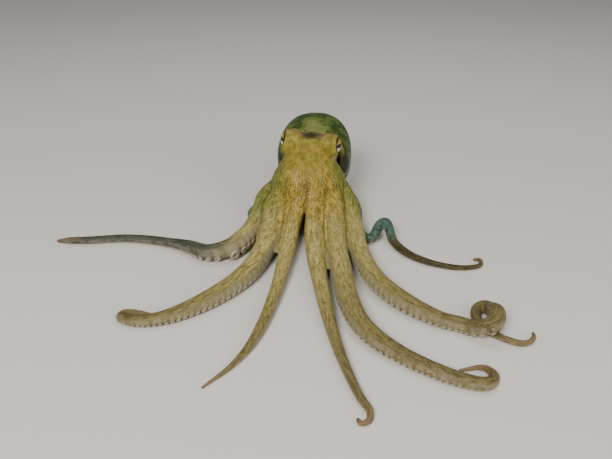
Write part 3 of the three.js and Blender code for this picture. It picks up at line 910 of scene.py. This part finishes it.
# Sucker flesh: bare, smooth and pale, a little clear, with a soft sheen and no dots.
def sucker_flesh():
    made, tree, shader = material("sucker_flesh", {
        "Roughness": 0.42, "IOR": 1.38, "Subsurface Weight": 0.15,
        "Subsurface Radius": (0.0018, 0.0012, 0.0009), "Subsurface Scale": 1.0,
    })
    where = add(tree, "ShaderNodeTexCoord").outputs["Object"]
    cloud = add(tree, "ShaderNodeTexNoise", {
        "Vector": where, "Scale": 1 / (SUCKER_CLOUD * MM), "Detail": 3.0,
    })
    tint = add(tree, "ShaderNodeMix", {
        0: cloud.outputs["Fac"], 6: linear("#877B66"), 7: linear("#B4A98F"),
    }, data_type="RGBA")
    tree.links.new(tint.outputs[2], shader.inputs["Base Color"])
    return made


# The eye's pattern on its disc, which is 1 in radius: sums, each as its name, what it does and with
# what, then the layers. The pupil is a bar with rounded ends, 0.80 wide and 0.24 tall to each side.
EYE_SUMS = (
    ("wide", "DIVIDE", "across", 0.80), ("wide", "ABSOLUTE", "wide", 0.0),
    ("wide", "POWER", "wide", 4.0),
    ("tall", "DIVIDE", "up", 0.24), ("tall", "ABSOLUTE", "tall", 0.0),
    ("tall", "POWER", "tall", 2.0),
    ("bar", "ADD", "wide", "tall"),
    ("lowered", "ADD", "up", 0.06), ("lowered", "MULTIPLY", "lowered", "lowered"),
    ("edge", "MULTIPLY", "across", "across"), ("edge", "ADD", "edge", "lowered"),
    ("edge", "SQRT", "edge", 0.0),
)
EYE_COAT = [
    ((), (("grain", 0.44, 0.54), "#C07A10", "#EAE6E0")),
    ((("up", -0.06, 0.02),), (("grain", 0.35, 0.65), "#8A5A00", "#D08E00")),
    ((("bar", 1.3, 0.9),), "#050403"),
    ((("edge", 0.70, 0.77),), "#0C0906"),
]


# Living eye: a clear wet cover over the iris, which is orange above and silver below, split by a
# black bar of a pupil.
def living_eye():
    made, tree, shader = material("living_eye", {
        "Roughness": 0.3, "IOR": 1.38, "Coat Weight": 0.35, "Coat Roughness": 0.04,
    })
    disc = add(tree, "ShaderNodeUVMap", uv_map="iris").outputs[0]
    place = add(tree, "ShaderNodeSeparateXYZ", {0: disc})
    grain = add(tree, "ShaderNodeTexNoise", {"Vector": disc, "Scale": 14.0, "Detail": 3.0})
    parts = {"across": place.outputs[0], "up": place.outputs[1], "grain": grain.outputs["Fac"]}
    for name, operation, one, other in EYE_SUMS:
        inputs = {0: parts.get(one, one), 1: parts.get(other, other)}
        parts[name] = add(tree, "ShaderNodeMath", inputs, operation=operation).outputs[0]
    tree.links.new(layered(tree, parts, EYE_COAT), shader.inputs["Base Color"])
    return made


# Painted board: matt, pale and even, so that it shows the shadow and nothing else.
def floor_paint():
    return material("floor_paint", {"Base Color": linear("#D8D3C8"), "Roughness": 0.9})[0]


# ---------- marks carried by the skin

# Where each mark eases in, as the value where it is 0 and the value where it is 1.
RUNS = {  # marks along any arm: how far out they start, mm
    "limb": (22, 32), "distal": (20, 52), "outer": (66, 130), "last": (100, 170),
}
TEAL = {"in": (44, 60), "out": (120, 102)}  # on the fourth pair, mm
BROWN, GREY = (98, 118), (74, 100)  # the ends of left_4 and right_3
DUSKY = {"right_3": (84, 106), "fourth": (50, 70)}  # where the underside darkens
TIP = {"reach": (0.10, 0.01), "most": 0.7}  # share of the arm's length left
ORAL = {"most": 64, "fourth": 92, "eases": 26}  # degrees from the back, by pair
SAC = {"rim": (-0.70, -0.62), "off_arm": (0.5, 0.1), "floor": 6.0, "under": (-0.5, -0.3)}
PALE = {"at": (0.5, -0.42), "half": (6.5, 0.26), "fades": (1.15, 0.6)}  # top of the sac
DEEP = {"at": (-1.5, -0.55), "half": (15.0, 0.5), "grows": (0.5, 1.0)}  # its dark sides
RIM = {"in": (0.57, 0.62), "out": (0.70, 0.66)}  # share of the sac's length forward
# painted shade inside the sac's open throat and along its low front
THROAT_SHADE = {"in": (0.46, 0.54), "out": (0.70, 0.66), "inside": (0.66, 0.68), "low": (37, 32)}
# The opening at the left of the throat, painted shade inside it and a painted highlight on its lip:
# its height, its place forward and its half sizes, then how far across the sac it starts.
OPENING = {"at": (24.5, 0.66), "half": (10.5, 0.36), "from": (8, 14), "painted_shade": (1.0, 0.72)}
# the painted highlight on the lip of the opening
LIP_HIGHLIGHT = {"at": 1.06, "half": (0.13, 0.02), "low": (31, 24), "most": 0.7}
FACE = (30, 42)  # height
BROWS = {"at": (8.2, 2.0, 53.0), "half": (6.5, 7, 4), "fades": (1.2, 0.5)}
# painted shade in the crease on top of the head
CREASE_SHADE = {"at": (-0.8, 1.5, 51.8), "half": (8.0, 6.0, 2.8), "fades": (1.2, 0.25)}
BELOW_EYE = {"at": (2.4, 1.0, -6.6), "fades": (1.4, 0.7)}  # a light spot, from the left eye
# painted shade round each eye, in the rim of its socket
SOCKET_SHADE = {"ring": (5.0, 4.3), "out": (-1.0, 1.0)}
FLANK = {"turn": (28, 66), "gone": (46, 95)}  # degrees round the crown, mm out
# painted shade in the furrows between neighbouring arms
SEAM_SHADE = {"between": (1.8, 0.3), "low": (33, 26), "high": (2, 5)}
AMBER = {"at": (1.3, 46.5), "half": (5.0, 2.6), "most": 0.4}
FLECK = {"at": -3.4, "half": 4.6, "up": (14, 20), "down": (33, 27)}
LINED = {"high": (36, 27), "gone": (40, 80), "most": 0.6}
ARM_APART = 40.0  # shift of the pattern from one arm to the next, mm
CROWN_ROUND = 24.0  # radius at which the crown's pattern is unrolled, mm


def spot(points, at, half, fades):
    """A soft spot on the skin round a place, 1 at its middle."""
    return smooth(np.linalg.norm((points - np.array(at)) / half, axis=1), *fades)


def marks(mesh):
    """Writes what the skin's material needs to know at each point, such as how far out on an arm
    it lies, which side of it, or whether it is on the mantle. Returns the names of the marks."""
    points = numbers(mesh)
    places = arm_places(points)
    arm, run, angle = places["arm"], places["run"], places["angle"]
    names = list(ARMS)
    is_arm = {name: arm == index for index, name in enumerate(names)}
    fourth = is_arm["left_4"] | is_arm["right_4"]
    on_arm = smooth(places["gap"], *NEAR_ARM)
    side, back, height = (points - np.array(AXIS)).T

    # the sac in its own axes, across and forward
    turn = math.radians(MANTLE["yaw"])
    dx, dy = side - MANTLE["centre"][0], back - MANTLE["centre"][1]
    across = dx * math.cos(turn) - dy * math.sin(turn)
    along = (dx * math.sin(turn) + dy * math.cos(turn)) / MANTLE["length"]
    forward = -along
    sac = smooth(along, *SAC["rim"]) * smooth(on_arm, *SAC["off_arm"])
    sac = np.where(height < SAC["floor"], smooth(along, *SAC["under"]) * (1 - on_arm), sac)

    brow, socket = np.zeros(len(points)), np.zeros(len(points))
    for hand in (-1, 1):
        x, y, z = BROWS["at"]
        swell = spot(points, head_point(hand * x, y, z), BROWS["half"], BROWS["fades"])
        brow = np.maximum(brow, swell)
        # painted shade round the eye, in the rim of its socket
        eye, look = np.array(eye_centre(hand)), np.array(gaze(hand))
        out = (points - eye) @ look
        ring = np.linalg.norm(points - eye - np.outer(out, look), axis=1)
        socket = np.maximum(socket, smooth(ring, *SOCKET_SHADE["ring"]) * smooth(out, *SOCKET_SHADE["out"]))
    # painted shade in the crease on top of the head
    crease_shade = spot(points, head_point(*CREASE_SHADE["at"]), CREASE_SHADE["half"], CREASE_SHADE["fades"])

    # painted shade inside the open throat, along its low front and in the opening at its side
    throat = smooth(forward, *THROAT_SHADE["in"]) * smooth(forward, *THROAT_SHADE["out"])
    throat = np.maximum(throat * smooth(height, *THROAT_SHADE["low"]), smooth(forward, *THROAT_SHADE["inside"]))
    up, ahead = OPENING["at"]
    tall, deep = OPENING["half"]
    opening = np.hypot((height - up) / tall, (forward - ahead) / deep)
    opens = smooth(across, *OPENING["from"]) * sac
    throat = np.maximum(throat, opens * smooth(opening, *OPENING["painted_shade"]))
    # painted highlight along the lip of the opening, with a pale spot below the left eye
    lip = smooth(abs(opening - LIP_HIGHLIGHT["at"]), *LIP_HIGHLIGHT["half"]) * smooth(height, *LIP_HIGHLIGHT["low"])
    x, y, z = BELOW_EYE["at"]
    below = head_point(EYE["side"] + x, EYE["forward"] + y, EYE["height"] + z)
    light = np.maximum(spot(points, below, 1.0, BELOW_EYE["fades"]), LIP_HIGHLIGHT["most"] * opens * lip)

    polar = np.degrees(np.arctan2(side, -back))
    lengths = np.array([PATHS[name]["run"][-1] for name in names])[arm]
    turned = np.where(fourth, ORAL["fourth"], ORAL["most"])
    seamed = smooth(height, *SEAM_SHADE["low"]) * smooth(height, *SEAM_SHADE["high"])
    flank = 1 - smooth(run, *FLANK["gone"]) * on_arm
    lined = 1 - smooth(run, *LINED["gone"]) * on_arm
    middle = np.exp(-(((side - FLECK["at"]) / FLECK["half"]) ** 2))
    amber = ((side - AMBER["at"][0]) / AMBER["half"][0]) ** 2
    amber += ((height - AMBER["at"][1]) / AMBER["half"][1]) ** 2
    hue = {name: smooth(run, *reach) * on_arm for name, reach in RUNS.items()}
    hue |= {
        "mantle": sac,
        "face": smooth(height, *FACE) * (1 - sac),
        "brow": brow * (1 - sac),
        "tip": smooth((lengths - run) / lengths, *TIP["reach"]) * on_arm * TIP["most"],
        "flank": smooth(abs(polar), *FLANK["turn"]) * (1 - sac) * flank,
        "oral": smooth(abs(angle), turned, turned + ORAL["eases"]) * on_arm * free_of_web(places),
        "dusky": on_arm * (
            is_arm["right_3"] * smooth(run, *DUSKY["right_3"]) + fourth * smooth(run, *DUSKY["fourth"])
        ),
        # painted shade in the furrows between neighbouring arms
        "seam": smooth(places["next"] - places["gap"], *SEAM_SHADE["between"]) * (1 - sac) * seamed,
        "rib": ribs(places),
        "grey": is_arm["right_3"] * smooth(run, *GREY) * on_arm,
        "brown": is_arm["left_4"] * smooth(run, *BROWN) * on_arm,
        "teal": fourth * smooth(run, *TEAL["in"]) * smooth(run, *TEAL["out"]) * on_arm,
        "rim": smooth(forward, *RIM["in"]) * smooth(forward, *RIM["out"]) * sac,
        "amber": AMBER["most"] * np.exp(-amber),
        "fleck": middle * smooth(height, *FLECK["up"]) * smooth(height, *FLECK["down"]),
        "lined": LINED["most"] * smooth(height, *LINED["high"]) * (1 - sac) * lined,
        # painted shade in the crease on top of the head, round the eyes and inside the throat
        "crease_shade": crease_shade * (1 - sac),
        # painted shade round the eyes, inside the throat and in its opening
        "painted_shade": np.clip(np.maximum(socket, throat * sac), 0, 1),
        # a pale spot below the left eye and a painted highlight on the opening's lip
        "light": light,
    }
    for name, area, eases in (("pale", PALE, "fades"), ("deep", DEEP, "grows")):
        x, y = area["at"]
        wide, long = area["half"]
        hue[name] = smooth(np.hypot((across - x) / wide, (along - y) / long), *area[eases]) * sac
    for name, values in hue.items():
        attribute = mesh.attributes.new(name, "FLOAT", "POINT")
        attribute.data.foreach_set("value", np.asarray(values, np.float32))
    down_crown = np.hypot(side, back) - height
    flows = {
        "crown_flow": (down_crown, np.radians(polar) * CROWN_ROUND, np.zeros(len(points))),
        "arm_flow": (run, np.radians(angle) * places["radius"], arm * ARM_APART),
    }
    for name, values in flows.items():
        attribute = mesh.attributes.new(name, "FLOAT_VECTOR", "POINT")
        attribute.data.foreach_set("vector", np.stack(values, axis=1).astype(np.float32).ravel())
    return list(hue)


# ---------- suckers and eyes

def one_sucker():
    """A cup on a short stalk, 1 in radius and 1 tall, its mouth at the top."""
    profile = [
        (0, -0.9), (0.72, -0.9), (0.84, 0.0), (1.0, 0.62), (0.86, 1.0), (0.52, 0.80),
        (0.30, 0.25), (0, 0.15),
    ]
    return as_mesh(turned_profile(profile, SUCKER["steps"]), "sucker")


def sucker_piece(name, pattern, flesh):
    bm = bmesh.new()
    for row, (runs, radii) in ROWS[name].items():
        turn = math.radians(180 - SUCKER["row"]) * row
        for run, size in zip(runs, radii):
            point, radius, ahead, side, back = at_run(
                PATHS[name], run, "points", "radius", "ahead", "side", "back"
            )
            outward = Vector(side * math.sin(turn) + back * math.cos(turn))
            skin = radius * float(section(180 - SUCKER["row"]))
            tall = max(SUCKER["proud"] * size / SUCKER["radius"], SUCKER["least"])
            place = Matrix.Translation(Vector(point) + outward * (skin - SUCKER["sunk"] * radius))
            cup = pattern.copy()
            cup.transform(place @ facing(outward, ahead) @ Matrix.Diagonal((size, size, tall, 1)))
            bm.from_mesh(cup)
            bpy.data.meshes.remove(cup)
    for vert in bm.verts:
        vert.co.z = max(vert.co.z, 0.0)
    finished("suckers_" + name, as_mesh(bm, "suckers"), "suckers", flesh)


def eye_piece(side, name, node, wet_eye):
    """An eyeball whose pattern is laid flat on the side that looks out; the back takes its edge."""
    bm = bmesh.new()
    bmesh.ops.create_uvsphere(bm, u_segments=48, v_segments=32, radius=EYE["radius"])
    layer = bm.loops.layers.uv.new("iris")
    for face in bm.faces:
        for loop in face.loops:
            co = loop.vert.co / EYE["radius"]
            spread = 2.0 if co.z < 0 else 1.0
            loop[layer].uv = (co.x * spread, co.y * spread)
    place = Matrix.Translation(eye_centre(side)) @ facing(gaze(side))
    bmesh.ops.transform(bm, matrix=place, verts=bm.verts)
    finished(name, as_mesh(bm, name), "eye", wet_eye, node)


# ---------- the animal

skin = skin_mesh()
skin_material = octopus_skin(marks(skin))
flesh_nodes = [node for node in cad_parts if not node.startswith("eye")]
finished("skin", skin, "skin", skin_material, *flesh_nodes)

flesh = sucker_flesh()
pattern = one_sucker()
for name in ARMS:
    sucker_piece(name, pattern, flesh)

eye = living_eye()
eye_piece(-1, "eyeball_right", "eye_right", eye)
eye_piece(1, "eyeball_left", "eye_left", eye)

# ---------- floor, light and camera, m

FLOOR_HALF, FLOOR_GAP = 6.0, 0.00005  # the floor lies a hair below the arms, not in them
MIDDLE = (0, 0, 0.02)  # where the lamps aim
SENSOR = 36.0  # width of the camera's sensor, mm
FOCAL, FRAME_WIDTH = 633, 612  # in pixels
PITCH = 27  # how far the camera looks down, degrees

bm = bmesh.new()
bmesh.ops.create_grid(bm, x_segments=1, y_segments=1, size=FLOOR_HALF)
floor = placed("floor", as_mesh(bm, "floor"))
floor.data.materials.append(floor_paint())
floor.location.z = -FLOOR_GAP


def softbox(name, place, size, watts):
    lamp = bpy.data.lights.new(name, "AREA")
    lamp.shape = "DISK"
    lamp.size = size
    lamp.energy = watts
    holder = placed(name, lamp)
    holder.location = place
    holder.rotation_euler = (Vector(MIDDLE) - Vector(place)).to_track_quat("-Z", "Y").to_euler()


softbox("key", (-0.28, -0.75, 0.62), 0.35, 9.5)
softbox("fill", (0.6, -0.6, 0.4), 0.6, 3.0)
softbox("top", (0.1, 0.35, 0.9), 0.6, 2.0)
world = bpy.data.worlds.new("studio")
world.use_nodes = True
background = world.node_tree.nodes["Background"]
background.inputs["Color"].default_value = linear("#E9ECF0")
background.inputs["Strength"].default_value = 0.35
bpy.context.scene.world = world

lens = bpy.data.cameras.new("camera")
lens.sensor_width = SENSOR
lens.lens = FOCAL / FRAME_WIDTH * SENSOR
lens.clip_start = 0.01
camera = placed("camera", lens)
camera.location = (0.0203, -0.3033, 0.172)
camera.rotation_euler = (math.radians(90 - PITCH), 0, 0)
bpy.context.scene.camera = camera

bpy.context.view_layer.update()
